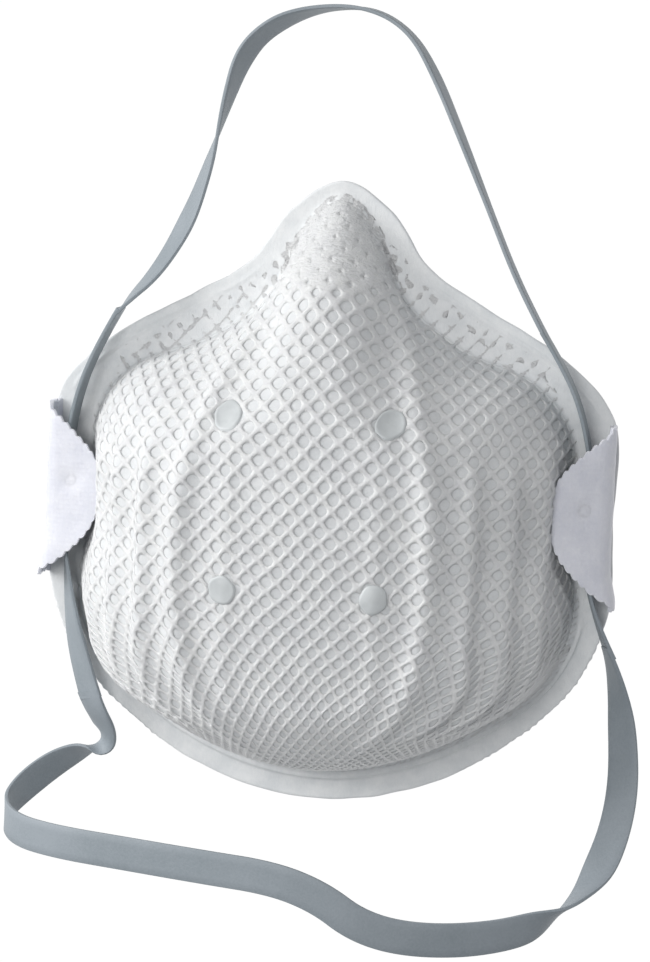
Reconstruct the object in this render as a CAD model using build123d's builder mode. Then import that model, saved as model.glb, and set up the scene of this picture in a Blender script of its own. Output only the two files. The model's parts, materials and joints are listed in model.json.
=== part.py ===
"""A disposable cup-shaped dust mask: a moulded netting shell over three fibre layers, a pressed flange with two
folded side tabs, and one flat elastic strap that runs through both tabs and makes a head loop and a neck loop.

Frame: +Z is up as worn, the front faces -Y, +X is to the right of somebody looking at the front.
The origin is the centre of the face opening, on the flat back of the flange, which seals on the face (y = 0).
"""

import os
from math import pi, radians, tan

from build123d import *

os.makedirs("parts", exist_ok=True)

# ---- driving dimensions, in millimetres ----
CUP_DEPTH = 46.0  # from the back of the flange to the edge of the front panel
DOME_RISE = 3.5  # how far the front panel's middle stands past its edge
FLANGE = 1.5  # thickness of the pressed flange
AIR = 0.1  # gap left between layers that lie on each other
NETTING, COVER_WEB, FILTER, LINER = 1.3, 0.4, 1.2, 0.6  # thickness of each layer, outside first
TAB = 1.2  # thickness of a folded tab
TAB_FRONT = 13.5  # how far forward of the face plane a tab reaches
FOLD_X = 67.3  # half the width across the two fold lines
STRAP_WIDTH, STRAP_THICK = 8.0, 1.0
STRAP_DEPTH = 6.3  # how far in front of the face plane the strap's middle runs through the tabs
CORD_R = (STRAP_WIDTH * STRAP_THICK / pi) ** 0.5  # round stand-in with the strap's own section area
SPOT_R, SPOT_PROUD = 3.2, 0.3  # a front weld spot's radius, and how far it stands out of the netting
BEAD_HEIGHT, BEAD_WIDTH = 0.4, 0.8

# The flange's outline, right half, as x and z from the nose to the chin; the straight fold line lies between them.
BROW = [(0, 74.1), (10.8, 68.8), (16, 60.7), (27, 50), (38.2, 44.7), (52.4, 36.5), (61.9, 27.2), (FOLD_X, 19.3)]
JAW = [(FOLD_X, -24.5), (62.8, -38.1), (51.8, -51.9), (35, -64.2), (15, -72.4), (0, -73.9)]

# The cup, right half, one line for each meridian from the nose round to the chin: where it leaves the flange (x, z),
# where it reaches the front panel (x, z), and its fullness: 1 is a straight slope, 2 is a quarter of an ellipse.
MERIDIANS = [
    ((0, 70.5), (0, 22), 1.05),
    ((8.6, 63), (5.5, 21.5), 1.1),
    ((15.5, 47.5), (12.5, 19), 1.2),
    ((30, 36), (20, 14), 1.35),
    ((47.6, 28.6), (26, 7), 1.45),
    ((56.8, 16), (29, -2), 1.45),
    ((56.4, -5), (29.5, -12), 1.4),
    ((59.2, -24), (28, -24), 1.55),
    ((52.5, -42), (23.5, -33), 1.75),
    ((36, -54.5), (15, -39.5), 1.9),
    ((18, -62.6), (7, -42), 1.9),
    ((0, -65.4), (0, -43), 1.9),
]
LEVELS = [0, 0.3, 0.55, 0.75, 0.88, 0.96, 1]  # sections of the wall, as shares of the cup's depth
DOME = [(0.62, 0.6), (0.28, 0.92)]  # sections of the front panel: share of its size, share of its rise
PANEL_MIDDLE = (0, -10)


def mirrored(half):
    """A closed ring of points from its right half, whose first and last points lie on the middle line."""
    return half + [(-x, z) for x, z in half[-2:0:-1]]


def inset_ring(ring, inset):
    """Each point of a ring, listed clockwise, moved inwards square to the line between its neighbours."""
    moved = []
    for before, point, after in zip(ring[-1:] + ring[:-1], ring, ring[1:] + ring[:1]):
        along = (Vector(*after) - Vector(*before)).normalized()
        moved.append((point[0] + along.Y * inset, point[1] - along.X * inset))
    return moved


def wall_ring(level):
    """The cup's outline at a share of its depth."""
    half = []
    for base, front, fullness in MERIDIANS:
        way = 1 - (1 - level**fullness) ** (1 / fullness)
        half.append((base[0] + (front[0] - base[0]) * way, base[1] + (front[1] - base[1]) * way))
    return mirrored(half)


def dome_ring(share):
    """The front panel's outline, shrunk about its middle."""
    cx, cz = PANEL_MIDDLE
    return [(cx + (x - cx) * share, cz + (z - cz) * share) for x, z in wall_ring(1)]


def cup(inset, foot):
    """The solid inside the cup's surface moved inwards by inset, starting on the plane at depth foot."""
    rings = [(foot, wall_ring(0))] if foot < FLANGE else []
    rings += [(max(CUP_DEPTH * level - inset, FLANGE), wall_ring(level)) for level in LEVELS]
    rings += [(CUP_DEPTH + DOME_RISE * rise - inset, dome_ring(share)) for share, rise in DOME]
    with BuildPart() as solid:
        for depth, ring in rings:
            with BuildSketch(Plane.XZ.offset(depth)):
                with BuildLine():
                    Polyline(*inset_ring(ring, inset), close=True)
                make_face()
        loft(ruled=True)
    return solid.part


def flange_outline():
    """The closed outline of the flange, as a sketch in the face plane."""
    with BuildSketch(Plane.XZ) as outline:
        with BuildLine():
            left_brow = [(-x, z) for x, z in BROW[:0:-1]]
            left_jaw = [(-x, z) for x, z in JAW[-2::-1]]
            Spline(*left_brow, *BROW)
            Line(BROW[-1], JAW[0])
            Spline(*JAW, *left_jaw)
            Line(left_jaw[-1], left_brow[0])
        make_face()
    return outline.sketch


# ---- the four layers of the cup, outside first ----
net_out = 0.0
net_in = net_out + NETTING
web_out = net_in + AIR
web_in = web_out + COVER_WEB
filter_out = web_in + AIR
filter_in = filter_out + FILTER
liner_out = filter_in + AIR
liner_in = liner_out + LINER
CUT_FOOT = -1.0  # the inside of each layer is cut from behind the face plane

net_solid, net_hollow = cup(net_out, FLANGE), cup(net_in, CUT_FOOT)
web_solid, web_hollow = cup(web_out, FLANGE), cup(web_in, CUT_FOOT)
filter_solid, filter_hollow = cup(filter_out, FLANGE), cup(filter_in, CUT_FOOT)
liner_solid, liner_hollow = cup(liner_out, FLANGE), cup(liner_in, CUT_FOOT)
spot_solid = cup(net_out - SPOT_PROUD, FLANGE)

SPOTS = {
    "upper_left_spot": (-18.5, 21.5),
    "upper_right_spot": (18.5, 21.5),
    "lower_left_spot": (-17.2, -17.3),
    "lower_right_spot": (17.2, -17.3),
}

with BuildPart() as netting_shell:
    add(net_solid)
    add(net_hollow, mode=Mode.SUBTRACT)
    for place in SPOTS.values():
        with BuildSketch(Plane.XZ):
            with Locations(place):
                Circle(SPOT_R + AIR)
        extrude(amount=CUP_DEPTH + DOME_RISE + FLANGE, mode=Mode.SUBTRACT)
netting_shell.part.label = "netting_shell"
export_step(netting_shell.part, "parts/netting_shell.step")

for spot_name, place in SPOTS.items():
    with BuildPart() as spot:
        with BuildSketch(Plane.XZ):
            with Locations(place):
                Circle(SPOT_R)
        extrude(amount=CUP_DEPTH + DOME_RISE + FLANGE)
        add(spot_solid, mode=Mode.INTERSECT)
        add(net_hollow, mode=Mode.SUBTRACT)
    spot.part.label = spot_name
    export_step(spot.part, f"parts/{spot_name}.step")

with BuildPart() as cover_web:
    add(web_solid)
    add(web_hollow, mode=Mode.SUBTRACT)
cover_web.part.label = "cover_web"
export_step(cover_web.part, "parts/cover_web.step")

with BuildPart() as filter_layer:
    add(filter_solid)
    add(filter_hollow, mode=Mode.SUBTRACT)
filter_layer.part.label = "filter_layer"
export_step(filter_layer.part, "parts/filter_layer.step")

with BuildPart() as inner_liner:
    add(liner_solid)
    add(liner_hollow, mode=Mode.SUBTRACT)
inner_liner.part.label = "inner_liner"
export_step(inner_liner.part, "parts/inner_liner.step")

# ---- the pressed flange that seals on the face, and the two weld beads pressed into its front ----
full_outline = flange_outline()
with BuildPart() as rim_flange:
    with BuildSketch(Plane.XZ):
        add(full_outline)
        with BuildLine():
            Polyline(*inset_ring(wall_ring(0), liner_in), close=True)
        make_face(mode=Mode.SUBTRACT)
    extrude(amount=FLANGE)
rim_flange.part.label = "rim_flange"
export_step(rim_flange.part, "parts/rim_flange.step")


RING = mirrored(BROW + JAW)
jaw_line = inset_ring(RING, 5.6)[len(BROW) : -len(BROW) + 1]
brow_line = inset_ring(RING, 3.0)[3:7]

with BuildPart() as jaw_weld_bead:
    with BuildSketch(Plane.XZ.offset(FLANGE)):
        with BuildLine():
            Spline(*jaw_line)
        trace(line_width=BEAD_WIDTH)
    extrude(amount=BEAD_HEIGHT)
jaw_weld_bead.part.label = "jaw_weld_bead"
export_step(jaw_weld_bead.part, "parts/jaw_weld_bead.step")

with BuildPart() as brow_weld_bead:
    with BuildSketch(Plane.XZ.offset(FLANGE)):
        with BuildLine():
            Spline(*brow_line)
        trace(line_width=BEAD_WIDTH)
    extrude(amount=BEAD_HEIGHT)
    mirror(about=Plane.YZ)
brow_weld_bead.part.label = "brow_weld_bead"
export_step(brow_weld_bead.part, "parts/brow_weld_bead.step")

# ---- the side tabs: wings of the flange folded forward round the strap, each with a weld near its tip ----
TAB_TIP_X = 55.0
TAB_LIP = 2.4  # how far the tip turns back towards the cup's wall
TAB_BEND_R = 2.4
TAB_SHAPE = [(FOLD_X + 1, 19.5), (61.3, 14.6), (56.2, 9.5), (53.9, 3), (53.9, -5), (56, -11), (61.5, -16),
             (FOLD_X + 1, -22)]
TAB_WELD = (61.2, 1)
TAB_WELD_R = 2.0

with BuildPart() as right_strap_tab:
    with BuildSketch(Plane.XY.offset(-30)):
        middle = TAB_FRONT - TAB / 2
        root_x = FOLD_X - TAB / 2
        with BuildLine():
            FilletPolyline((root_x, -FLANGE), (root_x, -middle), (TAB_TIP_X, -middle), (TAB_TIP_X, TAB_LIP - middle),
                           radius=[TAB_BEND_R, TAB_BEND_R / 2])
        trace(line_width=TAB)
    extrude(amount=60)
    with BuildSketch(Plane.XZ):
        with BuildLine():
            outer_edge = Spline(*TAB_SHAPE)
            Line(outer_edge @ 1, outer_edge @ 0)
        make_face()
    extrude(amount=TAB_FRONT + 1, mode=Mode.INTERSECT)
right_strap_tab.part.label = "right_strap_tab"
export_step(right_strap_tab.part, "parts/right_strap_tab.step")

with BuildPart() as left_strap_tab:
    add(right_strap_tab.part)
    mirror(about=Plane.YZ, mode=Mode.REPLACE)
left_strap_tab.part.label = "left_strap_tab"
export_step(left_strap_tab.part, "parts/left_strap_tab.step")

for side_name, side in (("left", -1), ("right", 1)):
    with BuildPart() as tab_weld:
        with BuildSketch(Plane.XZ.offset(TAB_FRONT)):
            with Locations((side * TAB_WELD[0], TAB_WELD[1])):
                Circle(TAB_WELD_R)
        extrude(amount=BEAD_HEIGHT)
    tab_weld.part.label = f"{side_name}_tab_weld"
    export_step(tab_weld.part, f"parts/{side_name}_tab_weld.step")

# ---- the strap's two runs through the tabs, flat bands that stand edge-on to the front ----
# x and z of each run's middle line, from the head loop down to the neck loop
LEFT_RUN = [(-51.6, 41.3), (-57.2, 31), (-61.2, 19), (-63.1, 5), (-63.3, -9), (-61.7, -26), (-59, -41),
            (-55.4, -51.8)]
RIGHT_RUN = [(49.2, 41), (54.6, 33), (59.4, 22.5), (62.4, 8), (62.2, -7), (61.8, -15), (64.5, -25), (68.5, -33.2)]


def band(run):
    """A flat band along a run, standing square to the face plane."""
    with BuildPart() as strip:
        with BuildSketch(Plane.XZ.offset(STRAP_DEPTH - STRAP_WIDTH / 2)):
            with BuildLine():
                Spline(*run)
            trace(line_width=STRAP_THICK)
        extrude(amount=STRAP_WIDTH)
    return strip.part


left_band, right_band = band(LEFT_RUN), band(RIGHT_RUN)

with BuildPart() as left_strap_run:
    add(left_band)
left_strap_run.part.label = "left_strap_run"
export_step(left_strap_run.part, "parts/left_strap_run.step")

with BuildPart() as right_strap_run:
    add(right_band)
right_strap_run.part.label = "right_strap_run"
export_step(right_strap_run.part, "parts/right_strap_run.step")

# the strap's other end, lapped over the left run inside the tab and welded to it, which closes the band
LAP_LENGTH = 14.0
LAP_X = -61.9
with BuildPart() as strap_lap_end:
    with BuildSketch(Plane.XZ.offset(STRAP_DEPTH - STRAP_WIDTH / 2)):
        with Locations((LAP_X, -2)):
            Rectangle(STRAP_THICK, LAP_LENGTH)
    extrude(amount=STRAP_WIDTH)
strap_lap_end.part.label = "strap_lap_end"
export_step(strap_lap_end.part, "parts/strap_lap_end.step")

# ---- the two loops, as round cords along the strap's route ----
HEAD_ROUTE = [
    (-49.9, -STRAP_DEPTH, 43.4),
    (-43.5, -3.5, 50.5),
    (-37.2, 0, 62.5),
    (-32.8, 2.5, 77),
    (-29.5, 4.5, 92),
    (-26, 6, 103.5),
    (-19, 7, 110.5),
    (-8, 7.5, 114.6),
    (4, 7.5, 114.8),
    (13.5, 7, 109.5),
    (20, 5.5, 99.5),
    (27, 3, 85),
    (34.5, 0, 69),
    (41.3, -3, 54.5),
    (47.8, -STRAP_DEPTH, 43.4),
]
NECK_ROUTE = [
    (-54.5, -STRAP_DEPTH, -54.2),
    (-52.3, -3, -59.5),
    (-52.9, 2, -64.8),
    (-58.8, 3, -67),
    (-66, 0.5, -71),
    (-72.3, -5, -76.6),
    (-74.2, -14, -80),
    (-69, -23, -82),
    (-57, -30.5, -82.3),
    (-40, -37.5, -82),
    (-20, -43, -82.4),
    (-3, -46, -83),
    (8, -46.5, -86.5),
    (16.5, -46, -92.4),
    (27, -44, -95.3),
    (41, -40, -95.6),
    (54, -34, -93.8),
    (63.5, -27, -89.5),
    (70.3, -20.5, -80.5),
    (73.8, -14, -66),
    (72.6, -9, -50),
    (69.3, -STRAP_DEPTH, -35.7),
]
BEND_SHARE = 0.45  # how much of the shorter run beside a corner its arc takes


def bend_radii(route):
    """The largest tangent arc that the two runs at each corner allow."""
    radii = []
    for before, corner, after in zip(route, route[1:], route[2:]):
        run_in, run_out = Vector(*corner) - Vector(*before), Vector(*after) - Vector(*corner)
        half_turn = radians(run_in.get_angle(run_out)) / 2
        radii.append(BEND_SHARE * min(run_in.length, run_out.length) / tan(half_turn))
    return radii


def cord(route, name):
    """A round cord along a route, with ball ends on the lines about which the loop bends."""
    radii = bend_radii(route)
    with BuildPart() as solid:
        with BuildLine() as path:
            FilletPolyline(*route, radius=radii)
        with BuildSketch(Plane(origin=path.line @ 0, z_dir=path.line % 0)):
            Circle(CORD_R)
        sweep()
        tube_volume = solid.part.volume
        length = sum(edge.length for edge in path.line.edges())
        with Locations(route[0], route[-1]):
            Sphere(CORD_R)
    print(name, "length", round(length, 1), "radii", [round(r, 1) for r in radii],
          "volume share", round(tube_volume / (length * pi * CORD_R**2), 4))
    return solid.part


head_cord = cord(HEAD_ROUTE, "head_loop")
neck_cord = cord(NECK_ROUTE, "neck_loop")

with BuildPart() as head_loop:
    add(head_cord)
head_loop.part.label = "head_loop"
export_step(head_loop.part, "parts/head_loop.step")

with BuildPart() as neck_loop:
    add(neck_cord)
neck_loop.part.label = "neck_loop"
export_step(neck_loop.part, "parts/neck_loop.step")
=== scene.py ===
# %% [markdown]
# # A disposable dust mask
# A cup-shaped mask is a stack of fibre layers held in shape by a moulded plastic netting. Its edge is
# pressed into a smooth flange, two wings of the flange are folded forward into tabs, and one flat elastic
# strap runs through both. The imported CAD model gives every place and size. This lesson builds the looks
# on top of it, piece by piece.

# %% Load the frame and keep its size
import json
import math

import bmesh
import bpy
import numpy as np
from mathutils import Matrix, Vector


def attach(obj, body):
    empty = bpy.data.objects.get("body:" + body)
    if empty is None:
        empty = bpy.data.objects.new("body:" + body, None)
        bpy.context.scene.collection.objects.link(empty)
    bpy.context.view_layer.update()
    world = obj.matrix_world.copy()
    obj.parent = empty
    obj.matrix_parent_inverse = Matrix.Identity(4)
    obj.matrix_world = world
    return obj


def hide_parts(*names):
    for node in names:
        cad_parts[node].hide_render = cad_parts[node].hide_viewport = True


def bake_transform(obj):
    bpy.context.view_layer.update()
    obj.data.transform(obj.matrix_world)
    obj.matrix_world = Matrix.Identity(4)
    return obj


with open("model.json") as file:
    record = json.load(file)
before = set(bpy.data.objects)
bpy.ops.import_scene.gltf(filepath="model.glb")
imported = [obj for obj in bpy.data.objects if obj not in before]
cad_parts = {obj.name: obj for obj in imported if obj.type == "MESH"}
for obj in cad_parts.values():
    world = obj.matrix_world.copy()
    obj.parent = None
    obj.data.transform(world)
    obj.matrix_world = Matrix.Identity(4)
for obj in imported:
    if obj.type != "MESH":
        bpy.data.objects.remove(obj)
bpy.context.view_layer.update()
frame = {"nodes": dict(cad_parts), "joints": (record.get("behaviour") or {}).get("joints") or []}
MM = 0.001

# %% [markdown]
# ## The camera
# The mask is seen from nearly straight ahead through a long lens, so that the cup doesn't look swollen.
# The camera's three axes are worked out from its azimuth and elevation, and then turned by a small roll,
# because the mask hangs a little askew. Building the matrix by hand keeps the roll exact.

# %% Place the camera
AZIMUTH, ELEVATION, ROLL = (math.radians(a) for a in (8.0, 7.0, 2.5))
DISTANCE = 0.75
SENSOR_WIDTH = 36
VIEW_HEIGHT = 0.22905  # how much of the mask's plane the long side of the picture shows
AIM_RIGHT, AIM_UP = -0.00143, 0.00286  # from the middle of the face opening to the middle of the picture


def camera_axes():
    """Right, up and back as the camera sees them."""
    level = math.cos(ELEVATION)
    back = Vector((math.sin(AZIMUTH) * level, -math.cos(AZIMUTH) * level, math.sin(ELEVATION)))
    right = Vector((math.cos(AZIMUTH), math.sin(AZIMUTH), 0))
    up = back.cross(right)
    rolled_right = right * math.cos(ROLL) + up * math.sin(ROLL)
    rolled_up = up * math.cos(ROLL) - right * math.sin(ROLL)
    return rolled_right, rolled_up, back


right, up, back = camera_axes()
camera = bpy.data.objects.new("camera", bpy.data.cameras.new("camera"))
camera.data.sensor_width = SENSOR_WIDTH
camera.data.lens = SENSOR_WIDTH * DISTANCE / VIEW_HEIGHT
bpy.context.scene.collection.objects.link(camera)
place = Matrix((right, up, back)).transposed().to_4x4()
place.translation = right * AIM_RIGHT + up * AIM_UP + back * DISTANCE
camera.matrix_world = place
bpy.context.scene.camera = camera
print("lens", round(camera.data.lens, 1), "mm")

# %% [markdown]
# ## Shader maths as Python
# A shader tree is easier to read as a formula than as boxes and wires. This small class wraps one output
# socket and overloads + and *, so that `mottle * 0.7 + fibres * 0.3` adds the Math nodes it needs.

# %% The socket wrapper
class Value:
    """One socket of a shader tree, with Python operators that add Math nodes."""

    def __init__(self, tree, socket):
        self.tree, self.socket = tree, socket

    def node(self, kind, settings=None, output=0, **sockets):
        """Adds a node of that kind, sets it up, and fills its inputs by name or, as _0, by number."""
        made = self.tree.nodes.new(kind)
        for key, setting in (settings or {}).items():
            setattr(made, key, setting)
        for key, value in sockets.items():
            target = made.inputs[int(key[1:])] if key[0] == "_" else made.inputs[key.replace("_", " ")]
            if isinstance(value, Value):
                self.tree.links.new(value.socket, target)
            else:
                target.default_value = value
        return Value(self.tree, made.outputs[output])

    def __add__(self, other):
        return self.node("ShaderNodeMath", {"operation": "ADD"}, _0=self, _1=other)

    def __mul__(self, other):
        return self.node("ShaderNodeMath", {"operation": "MULTIPLY"}, _0=self, _1=other)

    def between(self, low, high):
        """0 below low, 1 above high, and a smooth step between them."""
        return self.node("ShaderNodeMapRange", {"interpolation_type": "SMOOTHSTEP"}, Value=self,
                         From_Min=low, From_Max=high)

    def colours(self, *stops):
        """A ramp between two colours over this value. Each stop is (position, colour)."""
        ramp = self.node("ShaderNodeValToRGB", Fac=self)
        for element, (position, colour) in zip(ramp.socket.node.color_ramp.elements, stops):
            element.position = position
            element.color = (*colour, 1)
        return ramp


def new_material(name):
    """A material with its shader, and its place in space as a Value."""
    material = bpy.data.materials.new(name)
    material.use_nodes = True
    tree = material.node_tree
    shader = tree.nodes["Principled BSDF"]
    where = Value(tree, tree.nodes.new("ShaderNodeTexCoord").outputs["Object"])
    return material, shader, where


def noise(where, scale, detail=2.0, roughness=0.5, distortion=0.0):
    """Cloudy noise between 0 and 1. Scale is in features per metre."""
    return where.node("ShaderNodeTexNoise", Vector=where, Scale=scale, Detail=detail,
                      Roughness=roughness, Distortion=distortion)


def stretched(where, x, y, z):
    """The same place in space, with each axis multiplied, so that a pattern on it stretches."""
    return where.node("ShaderNodeMapping", Vector=where, Scale=(x, y, z))


def bump(shader, height, distance, strength=1.0):
    """Feeds a height in 0 to 1 to the shader's normal. Distance is the height in metres that 1 stands for."""
    normal = height.node("ShaderNodeBump", Height=height, Distance=distance, Strength=strength)
    normal.tree.links.new(normal.socket, shader.inputs["Normal"])


GLOW_SHARE = 0.6  # share of the light that travels inside


def glow(shader, depth):
    """Lets light travel that far (m) inside, as it does in thin white plastic and fibre."""
    shader.inputs["Subsurface Weight"].default_value = GLOW_SHARE
    shader.inputs["Subsurface Radius"].default_value = (1, 1, 1)
    shader.inputs["Subsurface Scale"].default_value = depth


def feed(shader, name, value):
    """Links a Value to one of the shader's inputs."""
    value.tree.links.new(value.socket, shader.inputs[name])


DARK_AT, LIGHT_AT = 0.35, 0.65  # where noise, which seldom nears 0 or 1, takes its darker and lighter colour


def paint(shader, pattern, dark, light):
    """Colours the surface from dark to light by a pattern between 0 and 1."""
    feed(shader, "Base Color", pattern.colours((DARK_AT, dark), (LIGHT_AT, light)))


# %% [markdown]
# ## The finishes
# Everything on this mask is pale, so the finishes differ in what light does on them: waxy plastic
# netting, fuzzy blown fibre behind it, melted and re-frozen fibre on the flange, and a dull grey
# elastomer on the strap.

# %% Netting: waxy white plastic
MELTED_NOSE = 0.044, 0.054  # the heights, m, between which the netting melts into a wavy skin


def netting_finish():
    material, shader, where = new_material("moulded netting")
    haze = noise(where, 140, 3) * 0.5 + noise(where, 900, 4, 0.7) * 0.5
    paint(shader, haze, (0.665, 0.67, 0.68), (0.78, 0.785, 0.775))
    feed(shader, "Roughness", haze * 0.2 + 0.42)
    shader.inputs["Specular IOR Level"].default_value = 0.4
    glow(shader, 0.0012)
    height = where.node("ShaderNodeSeparateXYZ", output=2, Vector=where)
    melted = height.between(*MELTED_NOSE)
    wavy = noise(stretched(where, 0.35, 0.6, 1), 900, 3, 0.5, 1.2)
    fine = noise(where, 1500, 3, 0.6)
    bump(shader, melted * wavy + fine * 0.35, 0.0007, 0.8)
    return material


# %% Cover web: thin blown fibres that show through the holes
def web_finish(name, dark, light, grain=1.0):
    material, shader, where = new_material(name)
    clouds = noise(where, 180 * grain, 3, 0.6)
    fibres = noise(stretched(where, 1, 1, 0.25), 2600 * grain, 4, 0.7, 1.5)
    crossed = noise(stretched(where, 0.25, 1, 1), 2600 * grain, 4, 0.7, 1.5)
    weave = (fibres + crossed) * 0.5
    paint(shader, clouds * 0.5 + weave * 0.5, dark, light)
    shader.inputs["Roughness"].default_value = 0.9
    shader.inputs["Specular IOR Level"].default_value = 0.2
    shader.inputs["Sheen Weight"].default_value = 0.25
    glow(shader, 0.001)
    bump(shader, weave, 0.0003, 0.7)
    return material


# %% Flange: fibres pressed and melted together
def flange_finish():
    material, shader, where = new_material("pressed flange")
    mottle = noise(where, 220, 4, 0.6)
    fibres = noise(stretched(where, 1, 1, 0.4), 1700, 4, 0.65, 1.0)
    paint(shader, mottle * 0.7 + fibres * 0.3, (0.70, 0.72, 0.73), (0.82, 0.83, 0.83))
    feed(shader, "Roughness", mottle * 0.3 + 0.4)
    shader.inputs["Specular IOR Level"].default_value = 0.35
    bump(shader, mottle * 0.6 + fibres * 0.4, 0.00035, 0.6)
    return material


# %% Tabs: bluish laminate with a faint square emboss
def tab_finish():
    material, shader, where = new_material("tab laminate")
    mottle = noise(where, 160, 4, 0.6)
    fibres = noise(stretched(where, 1, 1, 0.5), 1400, 5, 0.7, 1.0)
    emboss = where.node("ShaderNodeTexVoronoi", {"feature": "F1"}, Vector=where, Scale=900.0,
                        Randomness=0.35)
    paint(shader, mottle * 0.6 + fibres * 0.4, (0.67, 0.68, 0.745), (0.77, 0.775, 0.82))
    shader.inputs["Roughness"].default_value = 0.7
    shader.inputs["Sheen Weight"].default_value = 0.2
    glow(shader, 0.001)
    bump(shader, mottle * 0.3 + fibres * 0.3 + emboss * 0.5, 0.0004, 0.6)
    return material


# %% Welds: plastic melted smooth
def weld_finish():
    material, shader, where = new_material("melted weld")
    haze = noise(where, 260, 3)
    paint(shader, haze, (0.52, 0.545, 0.55), (0.60, 0.625, 0.63))
    feed(shader, "Roughness", haze * 0.25 + 0.32)
    bump(shader, haze, 0.0004, 0.4)
    return material


# %% Strap: dull grey elastomer with a fine speckle
def strap_finish():
    material, shader, where = new_material("grey elastic")
    cloud = noise(where, 60, 3)
    speck = noise(where, 1800, 3, 0.6)
    paint(shader, cloud * 0.6 + speck * 0.4, (0.235, 0.27, 0.295), (0.30, 0.335, 0.365))
    feed(shader, "Roughness", speck * 0.2 + 0.45)
    shader.inputs["Specular IOR Level"].default_value = 0.45
    bump(shader, speck, 0.0001, 0.5)
    return material


NETTING = netting_finish()
FLANGE = flange_finish()
TAB = tab_finish()
WELD = weld_finish()
STRAP = strap_finish()
WEB = web_finish("blown cover web", (0.68, 0.70, 0.71), (0.80, 0.815, 0.82))
MEDIA = web_finish("filter media", (0.78, 0.78, 0.76), (0.86, 0.86, 0.84), 0.6)
LINER = web_finish("soft liner", (0.78, 0.79, 0.79), (0.88, 0.885, 0.88), 0.8)

# %% [markdown]
# ## The cup's surface
# All layers follow one surface, so it is worked out once. The cup is described by meridians: lines that
# run from the middle of the front panel, over its edge, down the wall and out across the flange. A dozen
# of them on each side are enough, and a smooth ring of curves joins them. Each wall is a superellipse,
# whose fullness runs from a straight slope on the nose to a full, rounded cheek.

# %% The meridians and the ring between them
# The right half from nose to chin: foot of the wall, edge of the front panel and edge of the flange
# (x and z, mm), and fullness
MERIDIANS = [
    ((0, 70.5), (0, 22), (0, 74.1), 1.05),
    ((8.6, 63), (5.5, 21.5), (12, 67.2), 1.1),
    ((15.5, 47.5), (12.5, 19), (21.4, 54.5), 1.2),
    ((30, 36), (20, 14), (34.5, 46.2), 1.35),
    ((47.6, 28.6), (26, 7), (54.6, 34.4), 1.45),
    ((56.8, 16), (29, -2), (66.8, 20.2), 1.45),
    ((56.4, -5), (29.5, -12), (67.3, -3), 1.4),
    ((59.2, -24), (28, -24), (67.3, -24.8), 1.55),
    ((52.5, -42), (23.5, -33), (59.4, -44), 1.75),
    ((36, -54.5), (15, -39.5), (41, -60.8), 1.9),
    ((18, -62.6), (7, -42), (20.5, -70.7), 1.9),
    ((0, -65.4), (0, -43), (0, -73.9), 1.9),
]
PANEL_MIDDLE = np.array([0.0, -10.0])
CUP_DEPTH, DOME_RISE, FLANGE_THICK = 46.0, 3.5, 1.5
AROUND, ALONG = 24, 260  # samples between two meridians, and along each one


def full_ring():
    """One row for each meridian all the way round: foot, panel edge, flange edge and fullness."""
    half = np.array([[*foot, *panel, *edge, fullness] for foot, panel, edge, fullness in MERIDIANS])
    flip = np.array([-1, 1, -1, 1, -1, 1, 1])
    return np.concatenate([half, half[-2:0:-1] * flip])


def catmull_rom(a, b, c, d, t):
    """The smooth curve from b to c, with a before them and d after them, at t from 0 to 1."""
    squared = 2 * a - 5 * b + 4 * c - d
    cubed = 3 * b - a - 3 * c + d
    return 0.5 * (2 * b + (c - a) * t + squared * t**2 + cubed * t**3)


def closed_curve(rows, steps):
    """A smooth closed curve through rows, with that many steps between two rows."""
    t = np.arange(steps)[:, None] / steps
    a, b, c, d = (np.roll(rows, -k, axis=0)[:, None, :] for k in (-1, 0, 1, 2))
    return catmull_rom(a, b, c, d, t).reshape(-1, rows.shape[1])


ring = closed_curve(full_ring(), AROUND)
COUNT = len(ring)
print("ring of", COUNT, "meridians")


# %% Meridians as evenly spaced points
def smooth_step(x):
    """0 below 0, 1 above 1, and a smooth step between them."""
    x = np.clip(x, 0, 1)
    return x * x * (3 - 2 * x)


def even(line, count):
    """The same line with its points evenly spaced, and its length."""
    along = np.concatenate([[0], np.cumsum(np.linalg.norm(np.diff(line, axis=0), axis=1))])
    at = np.linspace(0, along[-1], count)
    return np.stack([np.interp(at, along, column) for column in line.T], axis=1), along[-1]


def softened(line, reach):
    """A line with its corners rounded off over that many points each way; its ends stay put."""
    kernel = np.hanning(2 * reach + 3)[1:-1]
    kernel = kernel / kernel.sum()
    before = 2 * line[0] - line[reach:0:-1]
    after = 2 * line[-1] - line[-2 : -reach - 2 : -1]
    padded = np.concatenate([before, line, after])
    return np.stack([np.convolve(column, kernel, "valid") for column in padded.T], axis=1)


def meridian(foot, panel, edge, fullness):
    """Points (x, y, z) from the middle of the panel to the flange's edge."""
    share = np.linspace(0, 1, 40)[:, None]
    dome_flat = PANEL_MIDDLE + (panel - PANEL_MIDDLE) * share
    dome = np.column_stack([dome_flat, CUP_DEPTH + DOME_RISE * (1 - share**2)])
    turn = np.linspace(math.pi / 2, 0, 90)[1:, None]
    outward_share = np.cos(turn) ** (2 / fullness)
    forward_share = np.sin(turn) ** (2 / fullness)
    wall_depth = FLANGE_THICK + (CUP_DEPTH - FLANGE_THICK) * forward_share
    wall = np.column_stack([panel + (foot - panel) * outward_share, wall_depth])
    out = np.linspace(0, 1, 12)[1:, None]
    rim = np.column_stack([foot + (edge - foot) * out, np.full(len(out), FLANGE_THICK)])
    return np.concatenate([dome, wall, rim])[:, [0, 2, 1]] * [1, -1, 1]


FILLET_REACH = 7.0  # how far from the foot the jaw's wall is rounded into the flange, mm
JAW_TOP, JAW_FADE = -18, 14  # the rounding starts below this height and is full this much lower, mm
CORNER_REACH, JAW_REACH = 6, 22  # points each way over which corners are rounded

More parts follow.
